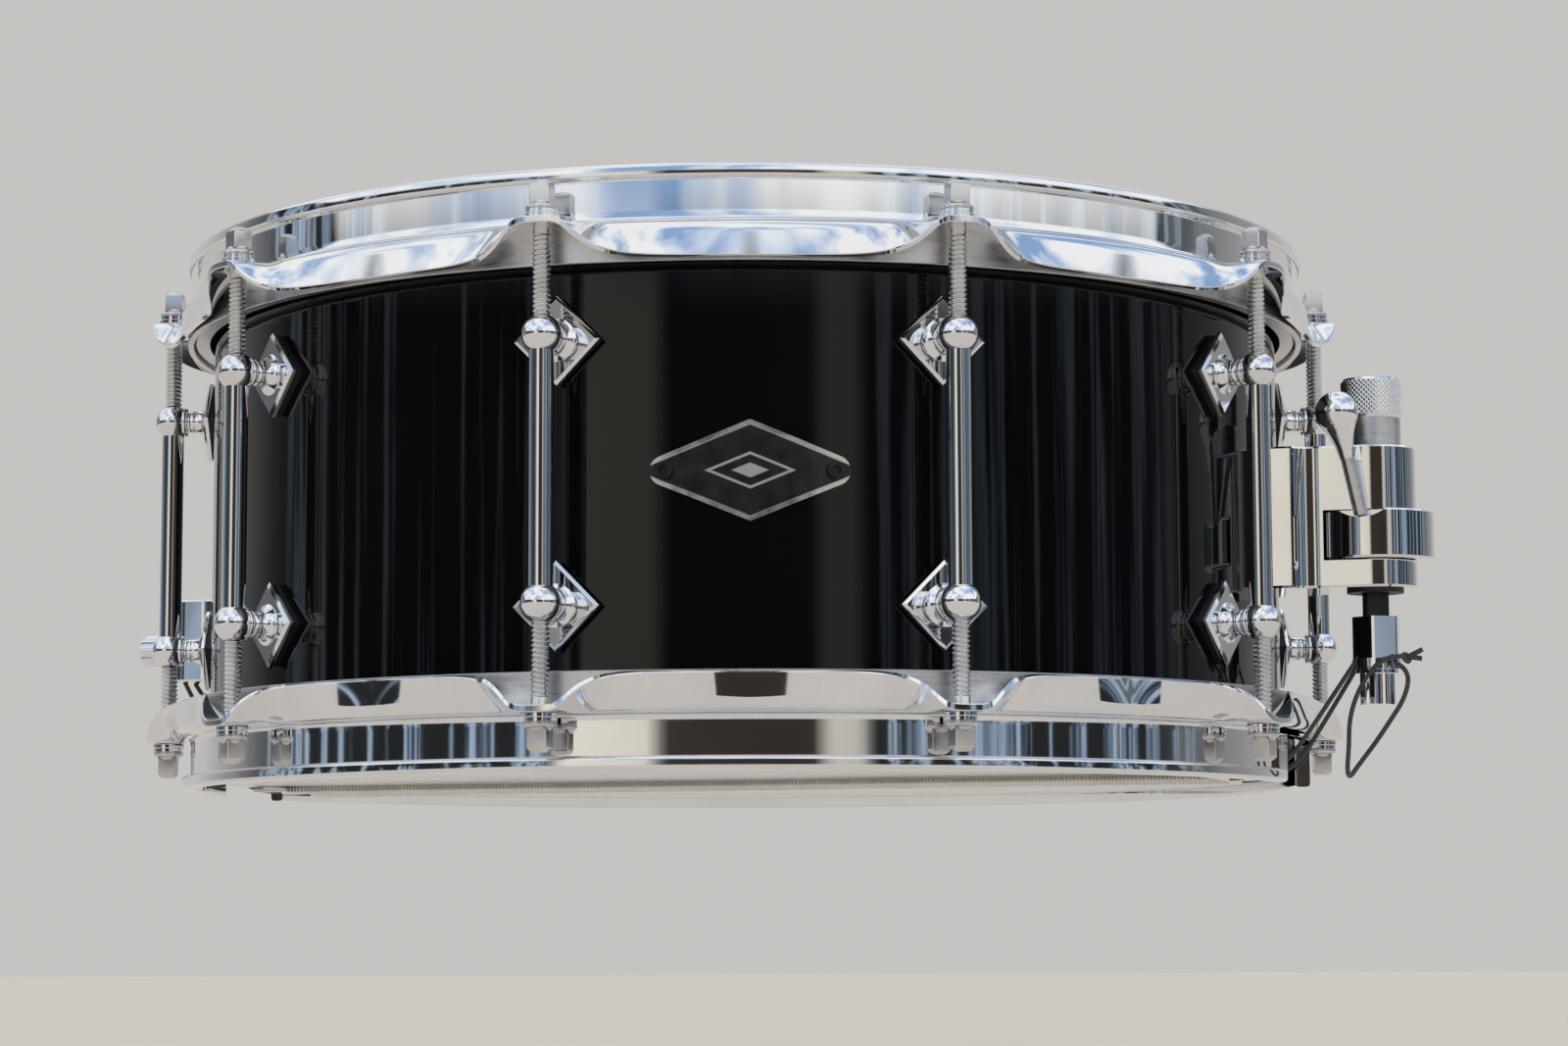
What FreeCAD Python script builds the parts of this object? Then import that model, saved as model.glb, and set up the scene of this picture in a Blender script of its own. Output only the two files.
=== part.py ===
import FreeCAD, Part
import math
import os

# Snare drum: wooden shell, two heads, flanged hoops, ten tube lugs, a lever strainer and a butt.
# Sizes are in millimetres and +Z runs along the drum's axis, towards the batter head.
# Every piece is built about the shell's mid-plane. It is raised by RAISE when it is written,
# which puts the origin on the axis, at the middle of the bottom rim's gripping land.

# ---- Driving sizes ----
SHELL_R = 177.8             # 14 in drum
SHELL_DEPTH = 165.1         # 6.5 in deep
SHELL_WALL = 7.0
EDGE_OUTER = 2.0            # outer 45 degree cut of the bearing edge
EDGE_FLAT = 1.0             # land on which the film lies
BED_WIDTH = 110.0           # shallow snare bed in the lower edge
BED_DEPTH = 1.6
FILM_T = 0.4

LUG_COUNT = 10
LUG_FIRST = 18.0            # degrees from the front
LUG_STAND_OFF = 15.6        # rod axis outside the shell
LUG_INSET = 43.95           # ball centres inside the bearing edges
BALL_R = 5.9
BALL_FLAT = 5.2             # ball centre to the flat where the rod enters
TUBE_R = 3.65
GASKET_T = 2.2
PLATE_T = 2.0
PLATE_DIAGONAL = 26.4
PLATE_BEVEL = 0.9

ROD_R = 2.72
ROD_REACH = 14.6            # rod's end past the ball's centre, inside the tube
ROD_SQUARE = 5.9
ROD_HEAD_H = 8.6            # collar and square together
ROD_COLLAR_H = 2.4
WASHER_R = 5.1
WASHER_T = 1.3              # each of the two under a rod's head
FIT = 0.08                  # radial clearance of a running fit
GAP = 0.35                  # radial clearance between pieces that only pass each other

HOOP_WALL_GAP = 4.2         # shell to the inside of the hoop's wall
HOOP_T = 2.0
RIM_RISE = 16.3             # flange face to the top of the rim
BEAD_OUT = 2.8              # how far the rim's bead stands out from the wall
BEAD_H = 4.2
BEAD_LAND = 2.0             # straight part of the bead, gripped by a stand
EAR_MARGIN = 6.3            # ear's edge outside the rod's axis
EAR_HALF = 7.1              # flat half-width of an ear
FOLD_LENGTH = 14.6          # how quickly the flange folds down beside an ear
FOLD_R = 4.1                # outside radius of the fold
FOLD_STEPS = 3              # facets round the fold
FLANGE_STEPS = 8            # facets from an ear to the next low point
CREASE = 0.12               # step where the flange leaves the wall
SKIRT_DROP = 11.4           # flange face to the edge of the folded skirt
COLLAR_DROP = 12.3          # flange face to the edge of the inner collar
COLLAR_T = 1.9
BATTER_FLANGE_DROP = 10.45  # bearing edge to the upper flange's face
SNARE_FLANGE_DROP = 12.55
GATE_WIDTH = 46.0           # snare gate cut through the lower rim
FLESH_H = 9.0
FLESH_T = 4.8

STRAINER_AT = 72.0          # degrees from the front
BUTT_AT = -108.0
STRAINER_OUT = 33.1         # strainer's axis outside the shell
NOSE_R = 13.5
BASE_HALF = 17.0
BASE_OUT = 9.9
BODY_TOP = 20.6
BODY_BOTTOM = -24.65
RING_R = 19.1
RING_TOP = -0.3
RING_H = 15.4
RING_PLAY = 0.3
HUB_R = 8.0
SLEEVE_R = 9.1
SLEEVE_TOP = 30.2
SLEEVE_LOW = 9.0
KNOB_R = 9.8
KNOB_TOP = 43.2
LIFT_R = 3.0
HEX_R = 4.2                 # across the corners, halved
LEVER_R = 2.2
LEVER_INSET = 2.5           # lever's foot inside the ring's edge
LEVER_KNOB_R = 6.8
BLOCK_TOP = -33.5
BLOCK_R = 8.2
BLOCK_BOTTOM = -46.9
CLAMP_COLLAR_R = 7.8
CLAMP_BOTTOM = -50.3
CLAMP_SCREW_END = -61.3
CLAMP_SCREW_R = 5.5
SHANK_R = 2.0               # clamp screws
BUTT_BOTTOM = -45.6
SCREW_R = 2.42              # screws through the shell
SCREW_HOLE_R = 2.7
STRAINER_SCREWS = (9.0, -19.0)
BUTT_SCREWS = (-24.0, -38.0)

SNARE_COUNT = 20
SNARE_R = 1.0
SNARE_PITCH = 2.2
SNARE_INSET = 13.3          # strands' ends inside the shell's outer face
CORD_R = 0.8

BADGE_LENGTH = 58.0
BADGE_HEIGHT = 29.5
BADGE_LOBE = 4.4            # radius of the lobe round each rivet
BADGE_SLOPE = math.radians(24.0)
BADGE_T = 0.9
RIVET_R = 2.5
RIVET_PIN_R = 1.4
RIVET_AT = 24.6

# ---- Sizes that follow ----
HALF = SHELL_DEPTH / 2.0
BALL_Z = HALF - LUG_INSET
ROD_INNER_Z = BALL_Z - ROD_REACH
SNARE_HALF = SHELL_R - SNARE_INSET
INNER_R = SHELL_R - SHELL_WALL
LUG_R = SHELL_R + LUG_STAND_OFF
PLATE_BACK = SHELL_R + GASKET_T
PLATE_FACE = PLATE_BACK + PLATE_T
WALL_IN = SHELL_R + HOOP_WALL_GAP
WALL_OUT = WALL_IN + HOOP_T
FOLD_START = WALL_OUT + 1.2
EAR_R = LUG_R + EAR_MARGIN
COLLAR_IN = WALL_IN + 2.8
COLLAR_OUT = COLLAR_IN + COLLAR_T
FLESH_IN = COLLAR_IN - 0.4 - FLESH_T
BEAD_R = WALL_OUT + BEAD_OUT
BATTER_FLANGE = HALF - BATTER_FLANGE_DROP
SNARE_FLANGE = HALF - SNARE_FLANGE_DROP
RAISE = SNARE_FLANGE + RIM_RISE - BEAD_H / 2.0
AXIS_R = SHELL_R + STRAINER_OUT
LUG_STEP = 360.0 / LUG_COUNT
SNARE_Z = -HALF - FILM_T - 1.25

V = FreeCAD.Vector
X = V(1, 0, 0)
Y = V(0, 1, 0)
Z = V(0, 0, 1)
ORIGIN = V(0, 0, 0)
lug_angles = [LUG_FIRST + LUG_STEP * i for i in range(LUG_COUNT)]
nodes = {}


# ---- Helpers ----
def outline(start, *steps):
    """Closed face in the XZ plane. A step is a corner, or (through, end) for an arc."""
    edges = []
    here = V(start[0], 0, start[1])
    for step in list(steps) + [start]:
        if isinstance(step[0], tuple):
            through = V(step[0][0], 0, step[0][1])
            end = V(step[1][0], 0, step[1][1])
            edges.append(Part.Arc(here, through, end).toShape())
        else:
            end = V(step[0], 0, step[1])
            edges.append(Part.LineSegment(here, end).toShape())
        here = end
    return Part.Face(Part.Wire(edges))


def turned(start, *steps):
    """Solid of revolution about Z from an outline given as (radius, height)."""
    return outline(start, *steps).revolve(ORIGIN, Z, 360)


def disc(radius, low, high, x=0.0, y=0.0):
    return Part.makeCylinder(radius, high - low, V(x, y, low), Z)


def tube(outer, inner, low, high, x=0.0, y=0.0):
    return disc(outer, low, high, x, y).cut(disc(inner, low - 1, high + 1, x, y))


def radial_pin(radius, start, end, z=0.0, y=0.0):
    """Cylinder along +X, which is a radial direction before the piece is swung round."""
    return Part.makeCylinder(radius, end - start, V(start, y, z), X)


def block(x0, x1, half_y, z0, z1):
    return Part.makeBox(x1 - x0, 2 * half_y, z1 - z0, V(x0, -half_y, z0))


def prism(count, radius, low, high, x, y=0.0, turn=0.0):
    """Regular prism about a vertical axis, sized across its corners."""
    corners = []
    for i in range(count + 1):
        angle = math.radians(turn + 360.0 * i / count)
        corners.append(V(x + radius * math.cos(angle), y + radius * math.sin(angle), low))
    return Part.Face(Part.makePolygon(corners)).extrude(V(0, 0, high - low))


def fluted(count, radius, depth, low, high):
    """Grip with smooth flutes about Z."""
    points = []
    for i in range(4 * count):
        angle = 2 * math.pi * i / (4 * count)
        r = radius - depth / 2 + depth / 2 * math.cos(count * angle)
        points.append(V(r * math.cos(angle), r * math.sin(angle), low))
    curve = Part.BSplineCurve()
    curve.interpolate(Points=points, PeriodicFlag=True)
    return Part.Face(Part.Wire([curve.toShape()])).extrude(V(0, 0, high - low))


def swung(shape, degrees_from_front):
    """Carry a shape built on +X round the drum."""
    copy = shape.copy()
    copy.rotate(ORIGIN, Z, degrees_from_front - 90.0)
    return copy


def flipped(shape):
    return shape.mirror(ORIGIN, Z)


def fused(shapes):
    if len(shapes) == 1:
        return shapes[0]
    return shapes[0].multiFuse(shapes[1:]).removeSplitter()


def cord(points, radius):
    """Round cord along straight runs joined by tangent arcs. Returns the solid and its length."""
    corners = [V(*p) for p in points]
    edges = []
    here = corners[0]
    length = 0.0
    radii = []
    for before, corner, after in zip(corners, corners[1:], corners[2:]):
        into = (corner - before).normalize()
        away = (after - corner).normalize()
        reach = 0.45 * min((corner - before).Length, (after - corner).Length)
        half_turn = into.getAngle(away) / 2
        bend_r = reach / math.tan(half_turn)
        start = corner - into * reach
        end = corner + away * reach
        inward = (away - into).normalize()
        middle = corner + inward * (bend_r / math.cos(half_turn) - bend_r)
        edges.append(Part.LineSegment(here, start).toShape())
        edges.append(Part.Arc(start, middle, end).toShape())
        length += (start - here).Length + bend_r * 2 * half_turn
        radii.append(bend_r)
        here = end
    edges.append(Part.LineSegment(here, corners[-1]).toShape())
    length += (corners[-1] - here).Length
    path = Part.Wire(edges)
    circle = Part.Circle(corners[0], corners[1] - corners[0], radius).toShape()
    solid = path.makePipeShell([Part.Wire([circle])], True, False)
    ideal = math.pi * radius ** 2 * length
    print("cord length %.1f smallest bend %.1f volume %.4f of ideal %.4f"
          % (length, min(radii), solid.Volume, ideal))
    return solid


# ---- Shell ----
def build_shell():
    wall = turned((SHELL_R, -HALF + EDGE_OUTER), (SHELL_R, HALF - EDGE_OUTER),
                  (SHELL_R - EDGE_OUTER, HALF), (SHELL_R - EDGE_OUTER - EDGE_FLAT, HALF),
                  (INNER_R, HALF - SHELL_WALL + EDGE_OUTER + EDGE_FLAT),
                  (INNER_R, -HALF + SHELL_WALL - EDGE_OUTER - EDGE_FLAT),
                  (SHELL_R - EDGE_OUTER - EDGE_FLAT, -HALF), (SHELL_R - EDGE_OUTER, -HALF))
    bed_r = ((BED_WIDTH / 2) ** 2 + BED_DEPTH ** 2) / (2 * BED_DEPTH)
    bed = radial_pin(bed_r, INNER_R - 10, SHELL_R + 10, -HALF + BED_DEPTH - bed_r)
    cuts = [swung(bed, STRAINER_AT), swung(bed, BUTT_AT)]
    hole = radial_pin(SCREW_HOLE_R, INNER_R - 5, SHELL_R + 5)
    for angle, z in shell_screws():
        drilled = hole.copy()
        drilled.translate(V(0, 0, z))
        cuts.append(swung(drilled, angle))
    for side in (-1, 1):
        cuts.append(rivet_pin(side, RIVET_PIN_R + 0.1))
    return wall.cut(cuts)


def shell_screws():
    """Angle and height of each screw through the shell."""
    places = []
    for angle in lug_angles:
        places += [(angle, BALL_Z), (angle, -BALL_Z)]
    places += [(STRAINER_AT, z) for z in STRAINER_SCREWS]
    places += [(BUTT_AT, z) for z in BUTT_SCREWS]
    return places


def inner_screw(z, reach):
    """Pan-head screw and washer, put in from inside the shell."""
    seat = math.sqrt(INNER_R ** 2 - 5.5 ** 2)
    washer = radial_pin(5.5, seat - 1.2, seat, z)
    head = radial_pin(4.4, seat - 4.0, seat - 1.2, z)
    shank = radial_pin(SCREW_R, seat - 1.5, reach, z)
    return fused([washer, head, shank])


# ---- Heads ----
def build_film(flange):
    top = flange - HOOP_T
    return turned((0, HALF), (SHELL_R - 1.9, HALF), (SHELL_R + 0.35, HALF - 2.05),
                  (FLESH_IN + 0.6, top), (FLESH_IN + 0.6 + FILM_T, top),
                  (SHELL_R + 0.35 + FILM_T, HALF - 1.9), (SHELL_R - 1.75, HALF + FILM_T), (0, HALF + FILM_T))


def build_flesh_hoop(flange):
    top = flange - HOOP_T
    return tube(FLESH_IN + FLESH_T, FLESH_IN, top - FLESH_H, top)


# ---- Hoops ----
def fold_section(bend):
    """Radial section of the flange, its face at z = 0, folded down by an angle."""
    straight = EAR_R - FOLD_START - (EAR_R - FOLD_START - SKIRT_DROP + FOLD_R) * bend / (math.pi / 2)
    sides = []
    for depth in (0.0, HOOP_T):
        radius = FOLD_R - depth
        side = [V(FOLD_START - 0.2, 0, -depth)]
        for i in range(FOLD_STEPS + 1):
            angle = bend * i / FOLD_STEPS
            spread = 0.4 * i * (1 - bend / (math.pi / 2))
            side.append(V(FOLD_START + radius * math.sin(angle) + spread * math.cos(angle), 0,
                          -depth - radius * (1 - math.cos(angle)) - spread * math.sin(angle)))
        out = V(FOLD_START + radius * math.sin(bend), 0, -depth - radius * (1 - math.cos(bend)))
        side.append(out + V(math.cos(bend), 0, -math.sin(bend)) * straight)
        sides.append(side)
    upper, lower = sides
    return Part.makePolygon(upper + lower[::-1] + upper[:1])


def build_hoop():
    """Hoop with its flange face at z = 0 and its rim upwards."""
    bead_low = RIM_RISE - BEAD_H
    land_low = RIM_RISE - BEAD_H / 2 - BEAD_LAND / 2
    land_high = land_low + BEAD_LAND
    core = turned((COLLAR_IN, -COLLAR_DROP), (COLLAR_OUT, -COLLAR_DROP), (COLLAR_OUT, -1.5),
                  (FOLD_START, -1.5), (FOLD_START, CREASE),
                  ((WALL_OUT + 0.36, CREASE + 0.36), (WALL_OUT, CREASE + 1.2)), (WALL_OUT, bead_low),
                  (BEAD_R - 1.5, bead_low), ((BEAD_R - 0.4, bead_low + 0.35), (BEAD_R, land_low)),
                  (BEAD_R, land_high), ((BEAD_R - 0.4, RIM_RISE - 0.35), (BEAD_R - 1.4, RIM_RISE)),
                  (WALL_IN + 1.2, RIM_RISE), ((WALL_IN + 0.35, RIM_RISE - 0.35), (WALL_IN, RIM_RISE - 1.2)),
                  (WALL_IN, -HOOP_T), (COLLAR_IN, -HOOP_T))
    ear_angle = math.degrees(EAR_HALF / LUG_R)
    span = LUG_STEP / 2 - ear_angle
    decay = math.degrees(FOLD_LENGTH / LUG_R)
    sections = []
    for i in range(FLANGE_STEPS + 1):
        beyond = span * (i / FLANGE_STEPS) ** 1.6
        bend = math.pi / 2 * (1 - math.exp(-beyond / decay)) / (1 - math.exp(-span / decay))
        section = fold_section(bend)
        section.rotate(ORIGIN, Z, ear_angle + beyond)
        sections.append(section)
    right = Part.makeLoft(sections, True, True)
    left = right.mirror(ORIGIN, Y)
    flat = fold_section(0.0)
    flat.rotate(ORIGIN, Z, -ear_angle)
    ear = Part.Face(flat).revolve(ORIGIN, Z, 2 * ear_angle)
    flange = []
    for angle in lug_angles:
        flange += [swung(part, angle) for part in (left, ear, right)]
    hoop = core.fuse(flange[0].multiFuse(flange[1:]))
    hole = disc(ROD_R + GAP + 0.13, -HOOP_T - 1, 1, LUG_R)
    cuts = [swung(hole, angle) for angle in lug_angles]
    return hoop.cut(cuts)


# ---- Lugs ----
def diamond(x, z, half):
    corners = [V(x, half, z), V(x, 0, z + half), V(x, -half, z), V(x, 0, z - half)]
    return Part.makePolygon(corners + corners[:1])


def build_plate(z):
    half = PLATE_DIAGONAL / 2
    slab = Part.Face(diamond(PLATE_BACK, z, half)).extrude(V(PLATE_T - PLATE_BEVEL, 0, 0))
    brim = Part.makeLoft([diamond(PLATE_FACE - PLATE_BEVEL, z, half),
                          diamond(PLATE_FACE, z, half - PLATE_BEVEL * 1.4)], True, True)
    return slab.fuse(brim)


def build_post(z):
    """Turned post between a lug's plate and its ball."""
    post = turned((0, -1), (6.4, -1), (6.4, 0), ((4.5, 1.0), (3.8, 2.6)), ((3.95, 3.9), (3.75, 5.0)),
                  (3.55, 5.6), (3.6, 6.3), (3.9, 6.45), ((5.0, 7.35), (3.9, 8.25)), (3.7, 9.4), (0, 9.4))
    post.rotate(ORIGIN, Y, 90)
    post.translate(V(PLATE_FACE, 0, z))
    return post


def build_lug():
    solids = [disc(TUBE_R, -BALL_Z, BALL_Z, LUG_R)]
    for side in (-1, 1):
        z = side * BALL_Z
        ball = Part.makeSphere(BALL_R, V(LUG_R, 0, z))
        beyond = block(LUG_R - 10, LUG_R + 10, 10, BALL_Z + BALL_FLAT, BALL_Z + 10)
        if side < 0:
            beyond = flipped(beyond)
        solids += [ball.cut(beyond), build_post(z), build_plate(z)]
    lug = fused(solids)
    cuts = [disc(ROD_R + FIT, -BALL_Z - 10, BALL_Z + 10, LUG_R)]
    for side in (-1, 1):
        cuts.append(radial_pin(SCREW_R + 0.08, PLATE_BACK - 1, PLATE_FACE + 6.5, side * BALL_Z))
    return lug.cut(cuts)


def build_gasket(z):
    pad = Part.Face(diamond(SHELL_R - 1.5, z, PLATE_DIAGONAL / 2 - 0.7)).extrude(V(GASKET_T + 1.5, 0, 0))
    return pad.cut([disc(SHELL_R, -HALF, HALF), radial_pin(SCREW_HOLE_R, SHELL_R - 5, PLATE_BACK + 5, z)])


# ---- Tension rods ----
def build_rod(flange):
    seat = flange + 2 * WASHER_T
    shaft = disc(ROD_R, ROD_INNER_Z, seat + 1, LUG_R)
    collar = turned((0, 0), (4.9, 0), (4.9, 0.5), ((4.2, 1.5), (3.1, ROD_COLLAR_H)), (0, ROD_COLLAR_H))
    collar.translate(V(LUG_R, 0, seat))
    half = ROD_SQUARE / 2
    head = Part.makeBox(ROD_SQUARE, ROD_SQUARE, ROD_HEAD_H - 1.6, V(LUG_R - half, -half, seat + 1.6))
    cap = turned((0, 0), (half * 1.36, 0), (half * 1.36, ROD_HEAD_H - 0.9),
                 ((half * 1.1, ROD_HEAD_H - 0.25), (half * 0.7, ROD_HEAD_H)), (0, ROD_HEAD_H))
    cap.translate(V(LUG_R, 0, seat))
    return fused([shaft, collar, head.common(cap)])


def build_rod_washers(flange):
    inner = ROD_R + GAP
    lower = tube(WASHER_R, inner, flange, flange + WASHER_T, LUG_R)
    upper = tube(WASHER_R - 0.3, inner, flange + WASHER_T, flange + 2 * WASHER_T, LUG_R)
    return [lower, upper]


# ---- Strainer, built on +X ----
def mount_outline(end_x, end_half, low, high):
    """Block on the shell: a wide foot that sweeps in to a narrower rounded nose."""
    foot_x = SHELL_R + BASE_OUT
    waist_x = foot_x + 7.8
    sweep = (foot_x + 2.4, (BASE_HALF + end_half) / 2 - 0.7)
    back = SHELL_R - 2
    edges = []
    points = [V(waist_x, -end_half, low), V(foot_x, -BASE_HALF, low), V(back, -BASE_HALF, low),
              V(back, BASE_HALF, low), V(foot_x, BASE_HALF, low), V(waist_x, end_half, low)]
    edges.append(Part.Arc(points[0], V(sweep[0], -sweep[1], low), points[1]).toShape())
    for a, b in zip(points[1:], points[2:5]):
        edges.append(Part.LineSegment(a, b).toShape())
    edges.append(Part.Arc(points[4], V(sweep[0], sweep[1], low), points[5]).toShape())
    edges.append(Part.LineSegment(points[5], V(end_x, end_half, low)).toShape())
    nose = V(end_x + end_half, 0, low)
    edges.append(Part.Arc(V(end_x, end_half, low), nose, V(end_x, -end_half, low)).toShape())
    edges.append(Part.LineSegment(V(end_x, -end_half, low), points[0]).toShape())
    solid = Part.Face(Part.Wire(edges)).extrude(V(0, 0, high - low))
    rims = [e for e in solid.Edges if e.BoundBox.ZLength < 0.01 and e.BoundBox.XMax > SHELL_R]
    return solid.makeChamfer(0.7, rims).cut(disc(SHELL_R, -HALF, HALF))


def build_strainer_body():
    body = mount_outline(AXIS_R, NOSE_R, BODY_BOTTOM, BODY_TOP)
    slot = tube(RING_R + 0.6, HUB_R, RING_TOP - RING_H - RING_PLAY, RING_TOP + RING_PLAY, AXIS_R)
    cuts = [slot, disc(SLEEVE_R + FIT, SLEEVE_LOW - 6.4, BODY_TOP + 1, AXIS_R),
            disc(HEX_R + 0.4, BODY_BOTTOM - 1, BODY_TOP, AXIS_R)]
    for z in STRAINER_SCREWS:
        cuts.append(radial_pin(SCREW_R + 0.08, SHELL_R - 5, SHELL_R + 9.0, z))
    return body.cut(cuts)


LEVER_BASE = V(AXIS_R - 1.5, LEVER_INSET - RING_R, RING_TOP - 3.6)
LEVER_KNOB = LEVER_BASE + V(-6.2, -8.4, 33.4)


def along_lever(shape):
    """Place a shape built on Z, its origin at the lever knob's centre."""
    rise = (LEVER_KNOB - LEVER_BASE).normalize()
    shape.Placement = FreeCAD.Placement(LEVER_KNOB, FreeCAD.Rotation(Z, rise))
    return shape


def build_ring():
    ring = tube(RING_R, HUB_R + 0.05, RING_TOP - RING_H, RING_TOP, AXIS_R)
    dip = Part.makeCylinder(12.1, 7.0, V(AXIS_R - 1.5, -RING_R - 1, RING_TOP + 9.3), Y)
    circles = [e for e in ring.Edges if e.Curve.TypeId == "Part::GeomCircle"]
    edges = [e for e in circles if abs(e.Curve.Radius - RING_R) < 0.01]
    socket = along_lever(disc(LEVER_R, -33.0, 0))
    return ring.makeChamfer(0.6, edges).cut([dip, socket])


def build_lever_arm():
    return along_lever(disc(LEVER_R, -33.0, -6.0))


def build_lever_knob():
    neck = turned((0, -14.6), (2.5, -14.6), ((3.5, -8.6), (6.16, -2.87)), (0, -2.87))
    ball = Part.makeSphere(LEVER_KNOB_R)
    return along_lever(fused([neck, ball]).cut(disc(LEVER_R, -20, -6.0)))


def build_lift_rod():
    return fused([disc(LIFT_R, -20.0, KNOB_TOP - 3.4, AXIS_R), prism(6, HEX_R, BLOCK_TOP, -8.0, AXIS_R)])


def build_clamp_block():
    block_part = prism(6, BLOCK_R, BLOCK_BOTTOM, BLOCK_TOP, AXIS_R, 0.0, 30.0)
    rounder = disc(BLOCK_R - 0.25, BLOCK_BOTTOM, BLOCK_TOP, AXIS_R)
    collar = disc(CLAMP_COLLAR_R, CLAMP_BOTTOM, BLOCK_BOTTOM, AXIS_R)
    solid = fused([block_part.common(rounder), collar])
    bore = disc(SHANK_R + 0.05, CLAMP_BOTTOM - 1, BLOCK_BOTTOM + 9, AXIS_R)
    return solid.cut([bore] + cord_ways())


def build_clamp_screw():
    plate = disc(6.9, CLAMP_BOTTOM - 1.2, CLAMP_BOTTOM, AXIS_R)
    grip = fluted(8, CLAMP_SCREW_R, 0.9, CLAMP_SCREW_END, CLAMP_BOTTOM - 1.2)
    grip.translate(V(AXIS_R, 0, 0))
    return fused([plate, grip, disc(SHANK_R, CLAMP_BOTTOM - 1, BLOCK_BOTTOM + 8, AXIS_R)])


# ---- Cords, as hand-chosen points in the strainer's own frame ----
def strand_points(side):
    """Taut strand from a snare plate, round the lower edge and up to the clamp."""
    return [(SNARE_HALF + 0.5, 12.0 * side, -HALF - 1.95), (SHELL_R + 2.2, 11.4 * side, -HALF - 1.95),
            (SHELL_R + 15.9, 7.6 * side, -64.7), (AXIS_R - 4.6, 4.0 * side, BLOCK_BOTTOM + 1.7)]


LOOP_FROM_AXIS = [(-0.1, -5.2, -47.9), (6.1, -4.2, -47.5), (10.7, -3.0, -52.0), (8.7, -1.6, -59.5),
                  (4.1, 0.2, -66.0), (-1.3, 1.9, -73.4), (-7.3, 2.8, -80.8), (-9.1, -2.7, -84.6),
                  (-9.0, -9.0, -82.3), (-8.1, -10.0, -75.4), (-7.9, -9.4, -66.5), (-5.5, -9.2, -58.6),
                  (-1.5, -10.4, -52.2), (3.1, -11.6, -47.4), (9.5, -9.6, -46.6)]
LOOP_POINTS = [(AXIS_R + x, y, z) for x, y, z in LOOP_FROM_AXIS]
KNOT = V(AXIS_R + 10.9, -8.8, -46.9)


def cord_ways():
    """Clearance round every cord that enters the clamp."""
    ways = [cord(strand_points(side)[1:], CORD_R + 0.15) for side in (-1, 1)]
    ways.append(cord(LOOP_POINTS[:4], CORD_R + 0.15))
    return ways


def build_knot():
    """Overhand knot: a tight ring of cord round the standing part, with two cut tails."""
    turns = []
    for tilt, lift in ((25, -0.7), (-20, 0.9)):
        turn = Part.makeTorus(1.25, CORD_R, KNOT + V(0, 0, lift), Z)
        turn.rotate(KNOT, X, tilt)
        turn.rotate(KNOT, Y, 60)
        turns.append(turn)
    for way, reach in ((V(1.0, -0.25, 0.45), 5.2), (V(1.0, 0.1, -0.15), 4.4)):
        turns.append(Part.makeCylinder(CORD_R, reach, KNOT, way))
    turns.append(Part.makeSphere(1.5, KNOT))
    return fused(turns)


# ---- Butt ----
def build_butt_body():
    body = mount_outline(AXIS_R - 9.0, NOSE_R, BUTT_BOTTOM, -17.0)
    cuts = [cord(strand_points(side)[1:], CORD_R + 0.15) for side in (-1, 1)]
    for z in BUTT_SCREWS:
        cuts.append(radial_pin(SCREW_R + 0.08, SHELL_R - 5, SHELL_R + 9.0, z))
    cuts.append(radial_pin(SHANK_R + 0.05, SHELL_R + 14, AXIS_R + 20, BUTT_BOTTOM + 12))
    return body.cut(cuts)


def build_butt_screw():
    face = AXIS_R - 9.0 + NOSE_R
    grip = fluted(8, CLAMP_SCREW_R, 0.9, 0.3, 8.0)
    grip.rotate(ORIGIN, Y, 90)
    grip.translate(V(face, 0, BUTT_BOTTOM + 12))
    return fused([grip, radial_pin(SHANK_R, SHELL_R + 16, face + 1, BUTT_BOTTOM + 12)])


# ---- Snares ----
def build_snares():
    """Strands soldered to a plate at each end, laced with cord through slots."""
    solids = []
    for i in range(SNARE_COUNT):
        y = (i - (SNARE_COUNT - 1) / 2) * SNARE_PITCH
        solids.append(radial_pin(SNARE_R, -SNARE_HALF, SNARE_HALF, SNARE_Z, y))
    plate = block(SNARE_HALF - 6.5, SNARE_HALF + 5.5, 23.0, SNARE_Z - 0.5, SNARE_Z + 0.5)
    slot = Part.makeBox(8.0, 2 * CORD_R + 0.6, 10.0, V(SNARE_HALF + 0.3, 11.9 - CORD_R - 0.3, SNARE_Z - 5.0))
    plate = plate.cut([slot, slot.mirror(ORIGIN, Y)])
    far = plate.copy()
    far.rotate(ORIGIN, Z, 180)
    return fused(solids + [plate, far])


# ---- Badge ----
def badge_outline(x, inset):
    """Diamond with a round lobe at each side point, standing in the plane X = x."""
    lobe = BADGE_LOBE - inset
    top = BADGE_HEIGHT / 2 - inset * 1.12
    centre = BADGE_LENGTH / 2 - BADGE_LOBE
    touch = V(x, centre + lobe * math.sin(BADGE_SLOPE), lobe * math.cos(BADGE_SLOPE))
    right = [V(x, 0, top), touch, V(x, centre + lobe, 0), V(x, touch.y, -touch.z), V(x, 0, -top)]
    left = [V(x, -p.y, p.z) for p in right]
    edges = [Part.LineSegment(right[0], right[1]).toShape(), Part.Arc(right[1], right[2], right[3]).toShape(),
             Part.LineSegment(right[3], right[4]).toShape(), Part.LineSegment(right[4], left[3]).toShape(),
             Part.Arc(left[3], left[2], left[1]).toShape(), Part.LineSegment(left[1], left[0]).toShape()]
    return Part.Wire(edges)


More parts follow.
